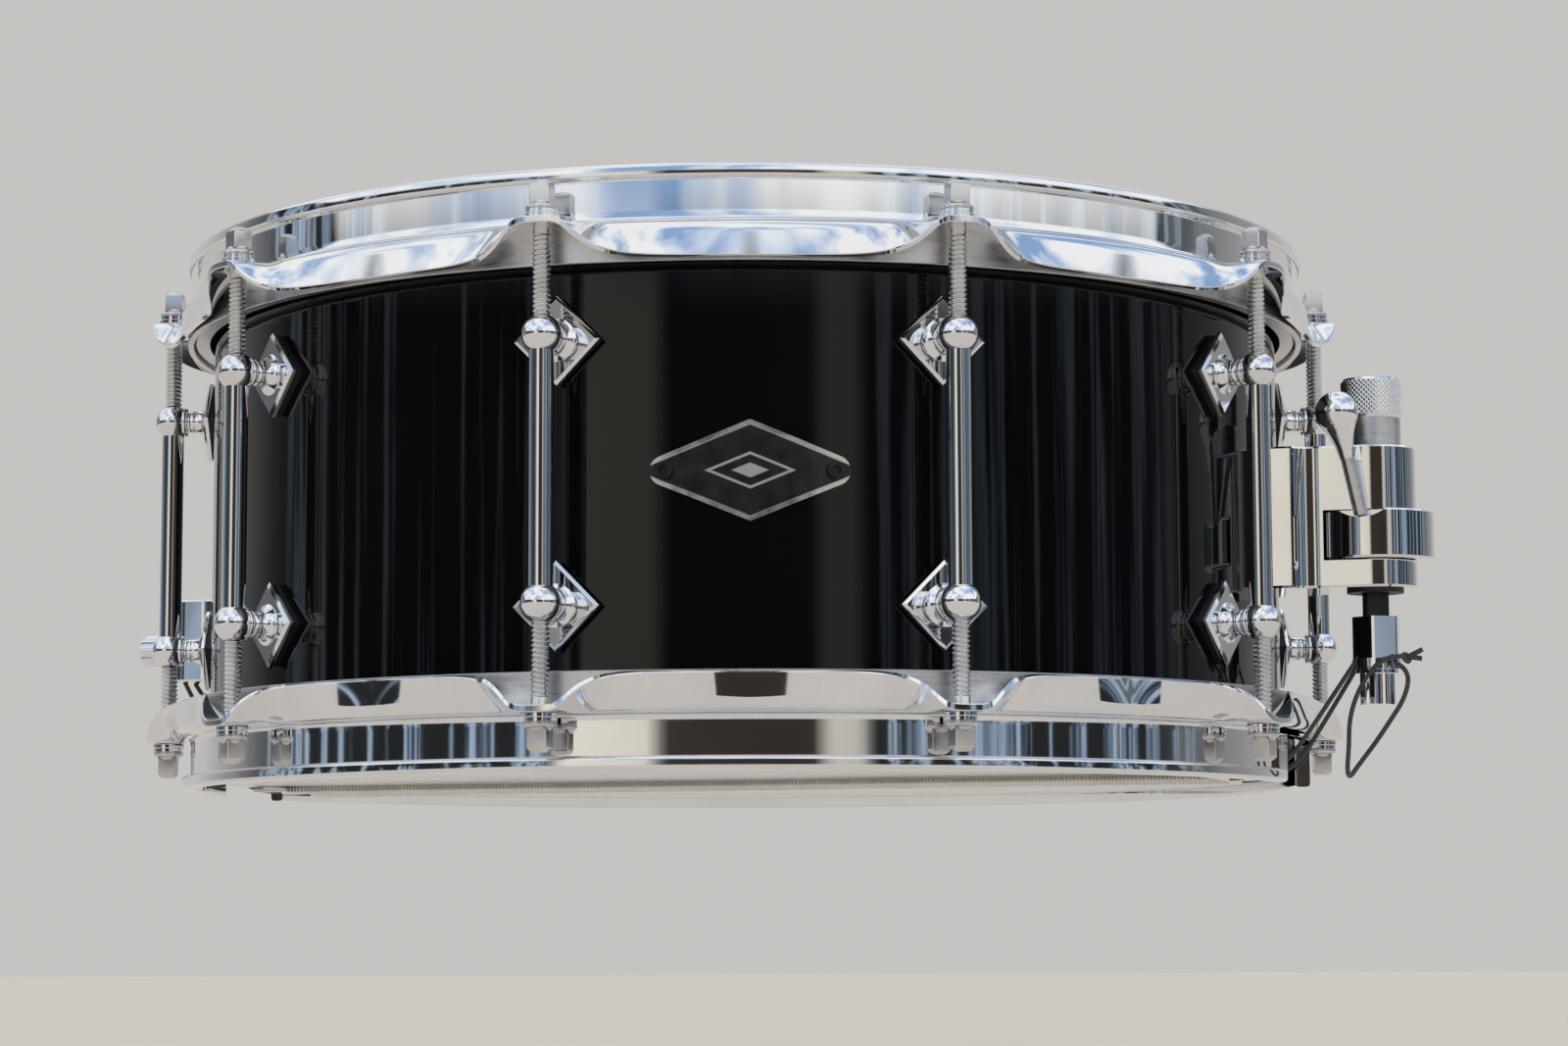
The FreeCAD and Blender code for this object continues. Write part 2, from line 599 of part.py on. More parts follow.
def build_badge():
    slab = Part.Face(badge_outline(SHELL_R - 6, 0.0)).extrude(V(12, 0, 0))
    skin = tube(SHELL_R + BADGE_T, SHELL_R, -HALF, HALF)
    panel = Part.Face(badge_outline(SHELL_R - 6, 1.1)).extrude(V(12, 0, 0))
    recess = panel.common(tube(SHELL_R + BADGE_T + 1, SHELL_R + BADGE_T - 0.35, -HALF, HALF))
    badge = swung(slab.common(skin).cut(recess), 0)
    return badge.cut([rivet_pin(side, RIVET_PIN_R + 0.1) for side in (-1, 1)])


def rivet_angle(side):
    return side * math.degrees(RIVET_AT / SHELL_R)


def rivet_pin(side, radius):
    return swung(radial_pin(radius, SHELL_R - 5.0, SHELL_R + BADGE_T + 1), rivet_angle(side))


def build_rivets():
    rivets = []
    for side in (-1, 1):
        head = radial_pin(RIVET_R, SHELL_R + BADGE_T + 0.05, SHELL_R + BADGE_T + 1.7)
        hexagon = prism(6, 1.45, 0, 3, 0)
        hexagon.rotate(ORIGIN, Y, 90)
        hexagon.translate(V(SHELL_R + BADGE_T + 0.7, 0, 0))
        pin = radial_pin(RIVET_PIN_R, SHELL_R - 4.5, SHELL_R + BADGE_T + 0.3)
        rivets.append(swung(fused([head, pin]).cut(hexagon), rivet_angle(side)))
    return Part.makeCompound(rivets)


# ---- Assembly ----
nodes["shell"] = build_shell()
nodes["batter_film"] = build_film(BATTER_FLANGE)
nodes["batter_flesh_hoop"] = build_flesh_hoop(BATTER_FLANGE)
nodes["snare_film"] = flipped(build_film(SNARE_FLANGE))
nodes["snare_flesh_hoop"] = flipped(build_flesh_hoop(SNARE_FLANGE))
hoop = build_hoop()
upper_hoop = hoop.copy()
upper_hoop.translate(V(0, 0, BATTER_FLANGE))
nodes["top_hoop"] = upper_hoop
lower_hoop = flipped(hoop)
lower_hoop.translate(V(0, 0, -SNARE_FLANGE))
gate_low = -SNARE_FLANGE - RIM_RISE - 1
gate = block(WALL_IN - 2, BEAD_R + 2, GATE_WIDTH / 2, gate_low, -SNARE_FLANGE - 1.6)
nodes["bottom_hoop"] = lower_hoop.cut([swung(gate, STRAINER_AT), swung(gate, BUTT_AT)])

lug = build_lug()
batter_rod = build_rod(BATTER_FLANGE)
snare_rod = flipped(build_rod(SNARE_FLANGE))
gaskets = []
washers = []
for number, angle in enumerate(lug_angles, 1):
    nodes["tube_lug_%02d" % number] = swung(lug, angle)
    nodes["batter_rod_%02d" % number] = swung(batter_rod, angle)
    nodes["snare_rod_%02d" % number] = swung(snare_rod, angle)
    gaskets += [swung(build_gasket(side * BALL_Z), angle) for side in (-1, 1)]
    washers += [swung(w, angle) for w in build_rod_washers(BATTER_FLANGE)]
    washers += [swung(flipped(w), angle) for w in build_rod_washers(SNARE_FLANGE)]
nodes["lug_gaskets"] = Part.makeCompound(gaskets)
nodes["rod_washers"] = Part.makeCompound(washers)
screws = []
for angle, z in shell_screws():
    reach = PLATE_FACE + 6.0 if abs(z) == BALL_Z else SHELL_R + 8.5
    screws.append(swung(inner_screw(z, reach), angle))
nodes["inner_screws"] = Part.makeCompound(screws)

nodes["badge"] = build_badge()
nodes["badge_rivets"] = build_rivets()

knob = fluted(44, KNOB_R, 0.45, SLEEVE_TOP, KNOB_TOP)
knob.translate(V(AXIS_R, 0, 0))
strainer = {
    "strainer_body": build_strainer_body(),
    "strainer_ring": build_ring(),
    "lever_arm": build_lever_arm(),
    "lever_knob": build_lever_knob(),
    "tension_sleeve": tube(SLEEVE_R, LIFT_R + 0.06, SLEEVE_LOW, SLEEVE_TOP, AXIS_R),
    "tension_knob": knob.cut(disc(LIFT_R + 0.06, SLEEVE_TOP - 1, KNOB_TOP - 0.8, AXIS_R)),
    "lift_rod": build_lift_rod(),
    "guide_bush": tube(9.0, HEX_R + 0.4, BODY_BOTTOM - 1.15, BODY_BOTTOM, AXIS_R),
    "clamp_block": build_clamp_block(),
    "clamp_screw": build_clamp_screw(),
    "snare_cords": Part.makeCompound([cord(strand_points(side), CORD_R) for side in (-1, 1)]),
    "spare_cord_loop": cord(LOOP_POINTS, CORD_R),
    "cord_knot": build_knot(),
    "snare_wires": build_snares(),
}
butt = {
    "butt_body": build_butt_body(),
    "butt_screw": build_butt_screw(),
    "butt_cords": Part.makeCompound([cord(strand_points(side), CORD_R) for side in (-1, 1)]),
}
for name, shape in strainer.items():
    nodes[name] = swung(shape, STRAINER_AT)
for name, shape in butt.items():
    nodes[name] = swung(shape, BUTT_AT)

os.makedirs("parts", exist_ok=True)
for name, shape in nodes.items():
    placed = shape.copy()
    placed.translate(V(0, 0, RAISE))
    placed.exportStep("parts/%s.step" % name)
    print("%s solids %d volume %.1f valid %s" % (name, len(placed.Solids), placed.Volume, placed.isValid()))
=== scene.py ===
import math

import bpy
import numpy as np
from mathutils import Matrix, Vector


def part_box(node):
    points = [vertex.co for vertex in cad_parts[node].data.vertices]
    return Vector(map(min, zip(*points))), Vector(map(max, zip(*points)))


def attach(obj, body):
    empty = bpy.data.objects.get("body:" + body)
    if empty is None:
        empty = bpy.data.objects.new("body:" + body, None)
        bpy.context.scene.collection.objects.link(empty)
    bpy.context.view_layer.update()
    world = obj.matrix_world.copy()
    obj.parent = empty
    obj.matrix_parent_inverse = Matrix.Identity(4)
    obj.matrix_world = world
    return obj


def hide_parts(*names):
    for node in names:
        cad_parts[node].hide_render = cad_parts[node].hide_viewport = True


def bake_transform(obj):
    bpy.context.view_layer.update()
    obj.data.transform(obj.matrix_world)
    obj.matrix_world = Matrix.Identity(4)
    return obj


# Snare drum. Lengths are in millimetres about the shell's mid-plane until mesh() writes them in metres.
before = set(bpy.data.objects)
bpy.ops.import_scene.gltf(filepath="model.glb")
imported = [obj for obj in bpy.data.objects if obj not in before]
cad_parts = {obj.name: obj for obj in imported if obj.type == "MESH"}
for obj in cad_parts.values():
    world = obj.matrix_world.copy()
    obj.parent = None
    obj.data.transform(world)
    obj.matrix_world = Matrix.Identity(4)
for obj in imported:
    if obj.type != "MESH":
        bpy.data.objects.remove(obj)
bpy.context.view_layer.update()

low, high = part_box("shell")
RAISE = (low.z + high.z) * 500.0            # the shell's mid-plane above the origin
SHELL_R = round(high.x * 1000, 1)
HALF = (high.z - low.z) * 500.0
WALL_IN = SHELL_R + 4.2                     # a hoop's upright wall
WALL_OUT = SHELL_R + 6.2
FOLD_START = SHELL_R + 7.4                  # where its flange starts to fold
LUG_R = SHELL_R + 15.6                      # the axis of a lug and its rods
EAR_R = LUG_R + 6.3                         # the outer edge of an ear
COLLAR_IN = SHELL_R + 7.0                   # the collar under the flange
COLLAR_OUT = SHELL_R + 8.9
BEAD_R = SHELL_R + 9.0                      # the outside of the rolled rim
RIM_RISE = 16.3                             # the rim's top above the flange
FOLD_R = 4.1                                # the fold's radius on the flange's upper face
SKIRT_DROP = 11.4                           # the skirt's edge below the flange
BATTER_FLANGE = HALF - 10.45                # each flange, from the mid-plane
SNARE_FLANGE = HALF - 12.55
BALL_Z = 38.6                               # a lug's balls, from the mid-plane
STRAINER_AT = 72.0                          # degrees from the front
BUTT_AT = -108.0
AXIS_R = SHELL_R + 33.1                     # the strainer's upright axis
LUGS = [18.0 + 36.0 * i for i in range(10)]


# ---- Mesh helpers ----
class Shape:
    """Points and faces gathered into one mesh."""

    def __init__(self):
        self.points = []
        self.faces = []
        self.count = 0

    def add(self, points, faces, place=None):
        points = np.asarray(points, float).reshape(-1, 3)
        if place is not None:
            points = points @ place[0].T + place[1]
        self.points.append(points)
        self.faces += [[i + self.count for i in f] for f in faces]
        self.count += len(points)
        return self


def spin(angle):
    """Rotation that carries +X to a direction given in degrees from the front."""
    a = math.radians(angle - 90.0)
    return np.array([[math.cos(a), -math.sin(a), 0], [math.sin(a), math.cos(a), 0], [0, 0, 1.0]])


def about(angle, offset=(0, 0, 0)):
    r = spin(angle)
    return r, r @ np.asarray(offset, float)


def mesh(name, shape, material, body="drum", replaces=(), sharp=32.0, place=None):
    points = np.concatenate(shape.points)
    if place is not None:
        points = points @ place[0].T + place[1]
    points = (points + np.array([0, 0, RAISE])) / 1000.0
    data = bpy.data.meshes.new(name)
    data.from_pydata(points.tolist(), [], shape.faces)
    data.update()
    data.shade_smooth()
    data.set_sharp_from_angle(angle=math.radians(sharp))
    obj = bpy.data.objects.new(name, data)
    bpy.context.scene.collection.objects.link(obj)
    data.materials.append(material)
    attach(obj, body)
    if replaces:
        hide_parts(*replaces)
    return obj


def strip(rows, cols, close_rows=False, close_cols=True):
    """Quads between rows of points."""
    faces = []
    for i in range(rows if close_rows else rows - 1):
        for j in range(cols if close_cols else cols - 1):
            a = i * cols + j
            b = i * cols + (j + 1) % cols
            c = ((i + 1) % rows) * cols + (j + 1) % cols
            d = ((i + 1) % rows) * cols + j
            faces.append([a, b, c, d])
    return faces


def lathe(profile, segments=96, closed=True):
    """Revolve (radius, height) points about Z. Points on the axis are kept as tiny rings."""
    profile = [(max(r, 0.001), z) for r, z in profile]
    turn = np.linspace(0, 2 * np.pi, segments, endpoint=False)
    points = [[r * math.cos(a), r * math.sin(a), z] for r, z in profile for a in turn]
    faces = [f[::-1] for f in strip(len(profile), segments, closed, True)]
    return points, faces


def arc(cx, cz, radius, start, end, count):
    """Points on an arc, angles in degrees from +r towards +z."""
    return [(cx + radius * math.cos(math.radians(a)), cz + radius * math.sin(math.radians(a)))
            for a in np.linspace(start, end, count)]


def smooth_line(points, per=6):
    """Catmull-Rom line through the points."""
    p = np.asarray(points, float)
    q = np.vstack([2 * p[0] - p[1], p, 2 * p[-1] - p[-2]])
    out = []
    for i in range(1, len(q) - 2):
        for t in np.linspace(0, 1, per, endpoint=False):
            out.append(0.5 * (2 * q[i] + (q[i + 1] - q[i - 1]) * t
                              + (2 * q[i - 1] - 5 * q[i] + 4 * q[i + 1] - q[i + 2]) * t ** 2
                              + (3 * q[i] - q[i - 1] - 3 * q[i + 1] + q[i + 2]) * t ** 3))
    out.append(p[-1])
    return [tuple(v) for v in out]


LYING = np.array([[0, 0, 1.0], [0, 1, 0], [-1, 0, 0]])      # carries +Z to +X


# ---- Materials ----
def nodes_of(name):
    material = bpy.data.materials.new(name)
    material.use_nodes = True
    tree = material.node_tree
    return material, tree, tree.nodes["Principled BSDF"]


def noise(tree, scale, detail=3.0, stretch=(1, 1, 1)):
    coordinates = tree.nodes.new("ShaderNodeTexCoord")
    mapping = tree.nodes.new("ShaderNodeMapping")
    mapping.inputs["Scale"].default_value = stretch
    texture = tree.nodes.new("ShaderNodeTexNoise")
    texture.inputs["Scale"].default_value = scale
    texture.inputs["Detail"].default_value = detail
    tree.links.new(coordinates.outputs["Object"], mapping.inputs["Vector"])
    tree.links.new(mapping.outputs["Vector"], texture.inputs["Vector"])
    return texture


def ramp(tree, source, stops):
    node = tree.nodes.new("ShaderNodeValToRGB")
    while len(node.color_ramp.elements) < len(stops):
        node.color_ramp.elements.new(0.5)
    for element, (at, colour) in zip(node.color_ramp.elements, stops):
        element.position = at
        element.color = tuple(colour) + (1.0,)
    tree.links.new(source, node.inputs["Fac"])
    return node


def finish_material(name, dark, light, rough, metallic, scale, bump=0.0, stretch=(1, 1, 1), coat=0.0,
                    bump_scale=None):
    """Material whose colour and roughness vary softly, with an optional fine bump."""
    material, tree, surface = nodes_of(name)
    texture = noise(tree, scale, 3.0, stretch)
    colour = ramp(tree, texture.outputs["Fac"], [(0.3, dark), (0.7, light)])
    tree.links.new(colour.outputs["Color"], surface.inputs["Base Color"])
    spread = ramp(tree, texture.outputs["Fac"], [(0.3, (rough[0],) * 3), (0.7, (rough[1],) * 3)])
    tree.links.new(spread.outputs["Color"], surface.inputs["Roughness"])
    surface.inputs["Metallic"].default_value = metallic
    surface.inputs["Coat Weight"].default_value = coat
    surface.inputs["Coat Roughness"].default_value = 0.03
    if bump:
        fine = noise(tree, bump_scale or scale * 6, 2.0, stretch)
        node = tree.nodes.new("ShaderNodeBump")
        node.inputs["Strength"].default_value = bump
        node.inputs["Distance"].default_value = 0.0002
        tree.links.new(fine.outputs["Fac"], node.inputs["Height"])
        tree.links.new(node.outputs["Normal"], surface.inputs["Normal"])
    return material


chrome = finish_material("chrome", (0.80, 0.81, 0.83), (0.86, 0.87, 0.885), (0.025, 0.06), 1.0, 30.0)
satin = finish_material("satin_chrome", (0.60, 0.60, 0.61), (0.70, 0.70, 0.70), (0.24, 0.34), 1.0, 60.0,
                        0.12, (1, 1, 14), 0.0, 900.0)
steel = finish_material("rod_steel", (0.58, 0.57, 0.56), (0.74, 0.73, 0.72), (0.16, 0.30), 1.0, 160.0)
wire_steel = finish_material("snare_wire", (0.62, 0.61, 0.58), (0.78, 0.77, 0.74), (0.18, 0.3), 1.0, 90.0)
lacquer = finish_material("black_lacquer", (0.0025, 0.0025, 0.003), (0.004, 0.004, 0.0045), (0.02, 0.045),
                          0.0, 14.0, 0.012, (1, 1, 1), 0.0, 130.0)
lacquer.node_tree.nodes["Principled BSDF"].inputs["IOR"].default_value = 1.42
rubber = finish_material("black_rubber", (0.010, 0.010, 0.011), (0.022, 0.022, 0.022), (0.45, 0.62), 0.0,
                         120.0, 0.2, (1, 1, 1), 0.0, 1400.0)
black_metal = finish_material("black_metal", (0.012, 0.012, 0.013), (0.025, 0.025, 0.027), (0.28, 0.42), 0.6,
                              200.0, 0.1, (1, 1, 1), 0.0, 1200.0)
coated = finish_material("coated_film", (0.78, 0.78, 0.75), (0.86, 0.86, 0.84), (0.5, 0.7), 0.0, 25.0,
                         0.5, (1, 1, 1), 0.0, 1500.0)
hazy = finish_material("thin_film", (0.62, 0.63, 0.64), (0.72, 0.73, 0.74), (0.16, 0.26), 0.0, 18.0, 0.05)
alloy = finish_material("flesh_hoop_alloy", (0.62, 0.62, 0.63), (0.72, 0.72, 0.73), (0.3, 0.42), 1.0, 80.0,
                        0.1, (1, 1, 20), 0.0, 700.0)
cord_cloth = finish_material("ribbed_cord", (0.030, 0.031, 0.034), (0.075, 0.076, 0.08), (0.5, 0.68), 0.0,
                             900.0, 0.5, (1, 1, 1), 0.0, 2600.0)


def badge_material():
    """Dark enamel with plain nested diamonds inside a bright border, by distance from the centre."""
    material, tree, surface = nodes_of("badge_metal")
    coordinates = tree.nodes.new("ShaderNodeTexCoord")
    split = tree.nodes.new("ShaderNodeSeparateXYZ")
    tree.links.new(coordinates.outputs["Object"], split.inputs["Vector"])

    def maths(kind, a, b=None):
        node = tree.nodes.new("ShaderNodeMath")
        node.operation = kind
        for socket, value in zip(node.inputs, (a, b)):
            if value is None:
                continue
            if isinstance(value, (int, float)):
                socket.default_value = value
            else:
                tree.links.new(value, socket)
        return node.outputs[0]

    slope = math.radians(22.1)
    wide = 0.0137                       # centre to a straight side, in metres
    across = maths("MULTIPLY", maths("ABSOLUTE", split.outputs["X"]), math.sin(slope) / wide)
    level = maths("SUBTRACT", split.outputs["Z"], RAISE / 1000.0)
    height = maths("MULTIPLY", maths("ABSOLUTE", level), math.cos(slope) / wide)
    reach = maths("ADD", across, height)
    dark, line, bright = (0.012, 0.012, 0.013), (0.42, 0.42, 0.40), (0.74, 0.74, 0.72)
    colour = ramp(tree, reach, [(0.0, line), (0.14, line), (0.155, dark), (0.30, dark), (0.315, line),
                                (0.355, line), (0.37, dark), (0.885, dark), (0.905, bright), (1.0, bright)])
    tree.links.new(colour.outputs["Color"], surface.inputs["Base Color"])
    grain = noise(tree, 220.0)
    rough = ramp(tree, grain.outputs["Fac"], [(0.3, (0.14,) * 3), (0.7, (0.26,) * 3)])
    tree.links.new(rough.outputs["Color"], surface.inputs["Roughness"])
    shine = ramp(tree, reach, [(0.885, (0.0,) * 3), (0.905, (1.0,) * 3)])
    tree.links.new(shine.outputs["Color"], surface.inputs["Metallic"])
    return material


badge_metal = badge_material()


# ---- Hoops ----
def fold_line(bend, depth, count):
    """Upper (depth 0) or lower surface of the folded flange, from the fold outwards."""
    radius = FOLD_R - depth
    full = math.pi / 2
    straight = EAR_R - FOLD_START - (EAR_R - FOLD_START - SKIRT_DROP + FOLD_R) * bend / full
    line = [(FOLD_START + radius * math.sin(a), -depth - radius * (1 - math.cos(a)))
            for a in np.linspace(0, bend, count // 2)]
    end = line[-1]
    for share in np.linspace(0, 1, count - count // 2 + 1)[1:]:
        line.append((end[0] + straight * share * math.cos(bend), end[1] - straight * share * math.sin(bend)))
    return np.array(line)


def hoop_section(bend):
    """Closed radial section, flange face at height 0, rim upwards."""
    lower = fold_line(bend, 2.0, 24)
    reach = np.linspace(0, 1, len(lower))
    start = np.interp(COLLAR_OUT, lower[:, 0], reach) if lower[-1, 0] > COLLAR_OUT else 0.35
    picks = np.linspace(start, 1, 20)
    lower = [(np.interp(s, reach, lower[:, 0]), np.interp(s, reach, lower[:, 1])) for s in picks]
    upper = [tuple(p) for p in fold_line(bend, 0.0, 24)]
    nx, nz = math.sin(bend), math.cos(bend)
    ax, az = math.cos(bend), -math.sin(bend)
    edge_low = (lower[-1][0], lower[-1][1])
    edge_high = upper[-1]
    rim_edge = [(edge_low[0] - 0.25 * ax, edge_low[1] - 0.25 * az),
                (edge_low[0] + 0.25 * nx, edge_low[1] + 0.25 * nz),
                (edge_high[0] - 0.25 * nx, edge_high[1] - 0.25 * nz),
                (edge_high[0] - 0.25 * ax, edge_high[1] - 0.25 * az)]
    bead_low = RIM_RISE - 4.2
    return ([(COLLAR_IN + 0.2, -12.3), (COLLAR_OUT - 0.2, -12.3), (COLLAR_OUT, -12.1)]
            + [(COLLAR_OUT, lower[0][1] - 0.05)] + lower[1:-1] + rim_edge + upper[-2::-1]
            + arc(WALL_OUT + 1.2, 1.2, 1.2, 270, 180, 8)
            + [(WALL_OUT, 3.0), (WALL_OUT, 6.0), (WALL_OUT, 9.0), (WALL_OUT, bead_low - 0.2)]
            + [(WALL_OUT + 0.2, bead_low)]
            + arc(BEAD_R - 1.1, bead_low + 1.1, 1.1, -90, 0, 9)
            + arc(BEAD_R - 1.2, RIM_RISE - 1.2, 1.2, 0, 90, 9)
            + arc(WALL_IN + 1.2, RIM_RISE - 1.2, 1.2, 90, 180, 9)
            + [(WALL_IN, 8.0), (WALL_IN, -2.0), (COLLAR_IN, -2.0), (COLLAR_IN, -12.1)])


EAR_ANGLE = math.degrees(7.1 / LUG_R)
SPAN = 18.0 - EAR_ANGLE
DECAY = math.degrees(14.6 / LUG_R)


def bend_at(offset):
    """Fold of the flange at an angle from the nearest ear, with the ear's corner softened."""
    beyond = abs(offset) - EAR_ANGLE
    soft = 0.35
    beyond = soft * math.log1p(math.exp(min(beyond / soft, 40.0))) if beyond < 6 else beyond
    return math.pi / 2 * min(1.0, (1 - math.exp(-beyond / DECAY)) / (1 - math.exp(-SPAN / DECAY)))


GATE_HALF = 23.0                            # half the width of a snare gate
GATE_FLOOR = 1.6                            # what a gate leaves standing above the flange


def build_hoop(name, node, flange, up, gates):
    angles = []
    for lug in LUGS:
        local = np.concatenate([np.linspace(-18, -9, 16, endpoint=False),
                                np.linspace(-9, 9, 91, endpoint=False),
                                np.linspace(9, 18, 16, endpoint=False)])
        angles += [(lug + a, bend_at(a)) for a in local]
    half_gate = math.degrees(math.asin(GATE_HALF / WALL_OUT))
    for gate in gates:
        for side in (-1, 1):
            for nudge in (-0.002, 0.002):
                angle = gate + side * half_gate + nudge
                nearest = min(LUGS, key=lambda lug: abs((angle - lug + 180) % 360 - 180))
                angles.append((angle, bend_at((angle - nearest + 180) % 360 - 180)))
    angles.sort(key=lambda a: (a[0] + 360) % 360)
    points = []
    for angle, bend in angles:
        section = hoop_section(bend)
        inside = any(abs((angle - g + 180) % 360 - 180) < half_gate for g in gates)
        a = math.radians(angle)
        for r, z in section:
            if inside:
                z = min(z, GATE_FLOOR)
            points.append([r * math.sin(a), -r * math.cos(a), up * (flange + z)])
    cols = len(hoop_section(0.5))
    faces = strip(len(angles), cols, True, True)
    faces = faces if up > 0 else [f[::-1] for f in faces]
    shape = Shape().add(points, [f[::-1] for f in faces])
    hoop = mesh(name, shape, chrome, "drum", [node], 40.0)
    hoop.data.materials.append(satin)
    for face in hoop.data.polygons:
        if face.index % cols in (0, 1, 2, cols - 2, cols - 1):      # the inner collar is left brushed
            face.material_index = 1
    return hoop


build_hoop("top_hoop_chrome", "top_hoop", BATTER_FLANGE, 1, [])
build_hoop("bottom_hoop_chrome", "bottom_hoop", SNARE_FLANGE, -1, [STRAINER_AT, BUTT_AT])


# ---- Shell and heads ----
def build_shell():
    wall = [(SHELL_R, -HALF + 2), (SHELL_R, 0), (SHELL_R, HALF - 2), (SHELL_R - 2, HALF), (SHELL_R - 3, HALF),
            (SHELL_R - 7, HALF - 4), (SHELL_R - 7, -HALF + 4), (SHELL_R - 3, -HALF), (SHELL_R - 2, -HALF)]
    fine = []
    for a, b in zip(wall, wall[1:] + wall[:1]):
        fine += [a, (a[0] * 0.999 + b[0] * 0.001, a[1] * 0.999 + b[1] * 0.001),
                 (a[0] * 0.001 + b[0] * 0.999, a[1] * 0.001 + b[1] * 0.999)]
    points, faces = lathe(fine, 360)
    return mesh("shell_lacquer", Shape().add(points, faces), lacquer, "drum", ["shell"], 30.0)


def facing(line, up):
    """Ring turned from a line that is drawn for the upper head, and mirrored for the lower."""
    points, faces = lathe([(r, z * up) for r, z in line], 256)
    return Shape().add(points, faces if up > 0 else [f[::-1] for f in faces])


def build_film(name, node, flange, up, material):
    top = flange - 2.0
    line = ([(0, HALF + 0.4), (60, HALF + 0.4), (120, HALF + 0.4), (SHELL_R - 4.0, HALF + 0.4)]
            + arc(SHELL_R - 2.0, HALF - 1.6, 2.0, 90, 20, 8)
            + [(SHELL_R + 0.75, HALF - 3.2), (COLLAR_IN - 4.2, top)]
            + [(COLLAR_IN - 4.6, top), (SHELL_R + 0.35, HALF - 3.4), (SHELL_R - 1.9, HALF), (0, HALF)])
    return mesh(name, facing(line, up), material, "drum", [node], 50.0)


def build_flesh(name, node, flange, up):
    inner, outer = COLLAR_IN - 5.2, COLLAR_IN - 0.4
    top, bottom = flange - 2.0, flange - 11.0
    line = [(inner, bottom), (outer - 0.5, bottom), (outer, bottom + 0.5), (outer, top - 0.5),
            (outer - 0.5, top), (inner, top)]
    return mesh(name, facing(line, up), alloy, "drum", [node])


build_shell()
build_film("batter_head", "batter_film", BATTER_FLANGE, 1, coated)
build_film("snare_head", "snare_film", SNARE_FLANGE, -1, hazy)
build_flesh("batter_head_hoop", "batter_flesh_hoop", BATTER_FLANGE, 1)
build_flesh("snare_head_hoop", "snare_flesh_hoop", SNARE_FLANGE, -1)


# ---- Lugs and rods ----
def post_line():
    foot = arc(7.6, 3.8, 3.8, 270, 180, 10)
    foot = [(min(r, 6.4), z) for r, z in foot]
    barrel = smooth_line([(3.8, 3.8), (3.88, 4.4), (3.75, 5.1), (3.5, 5.6)], 5)
    bead = [(3.5, 6.2)] + arc(3.9, 7.35, 1.1, -75, 75, 12) + [(3.5, 8.5), (3.6, 9.6)]
    return [(6.4, -0.4)] + foot + barrel[1:] + bead


def lug_shape():
    shape = Shape()
    low_arc = math.degrees(math.asin(5.2 / 5.9))
    join = math.degrees(math.acos(3.65 / 5.9))
    upper = [(2.8, BALL_Z + 5.2)] + arc(0, BALL_Z, 5.9, low_arc, -join, 40)
    line = upper + [(3.65, 20.0), (3.65, 0.0), (3.65, -20.0)] + [(r, -z) for r, z in upper[::-1]]
    line += [(2.8, -BALL_Z), (2.8, 0.0), (2.8, BALL_Z)]
    points, faces = lathe(line[::-1], 64)
    shape.add(points, faces, (np.eye(3), np.array([LUG_R, 0, 0])))
    for side in (-1, 1):
        points, faces = lathe(post_line(), 64, False)
        shape.add(points, faces, (LYING, np.array([SHELL_R + 4.2, 0, side * BALL_Z])))
        rings = []
        for x, half in ((0.0, 13.2), (1.1, 13.2), (1.18, 13.17), (1.95, 12.0), (2.0, 11.9)):
            rings += [[SHELL_R + 2.2 + x, half, side * BALL_Z], [SHELL_R + 2.2 + x, 0, side * BALL_Z + half],
                      [SHELL_R + 2.2 + x, -half, side * BALL_Z], [SHELL_R + 2.2 + x, 0, side * BALL_Z - half]]
        faces = strip(5, 4)
        faces += [[16, 17, 18, 19], [3, 2, 1, 0]]
        shape.add(rings, faces)
    return shape


def thread(top, bottom, radius, depth, pitch, around=36):
    """Outside of a threaded rod as a helical ridge."""
    heights = np.arange(bottom, top, pitch / 10.0)
    points = []
    for z in heights:
        for j in range(around):
            a = 2 * np.pi * j / around
            phase = (z / pitch - j / around) % 1.0
            ridge = 1.0 - abs(phase * 2 - 1)
            r = radius - depth * (1 - min(1.0, max(0.0, ridge * 1.25 - 0.08)))
            points.append([r * math.cos(a), r * math.sin(a), z])
    faces = strip(len(heights), around)
    faces.append(list(range(around))[::-1])
    return points, faces


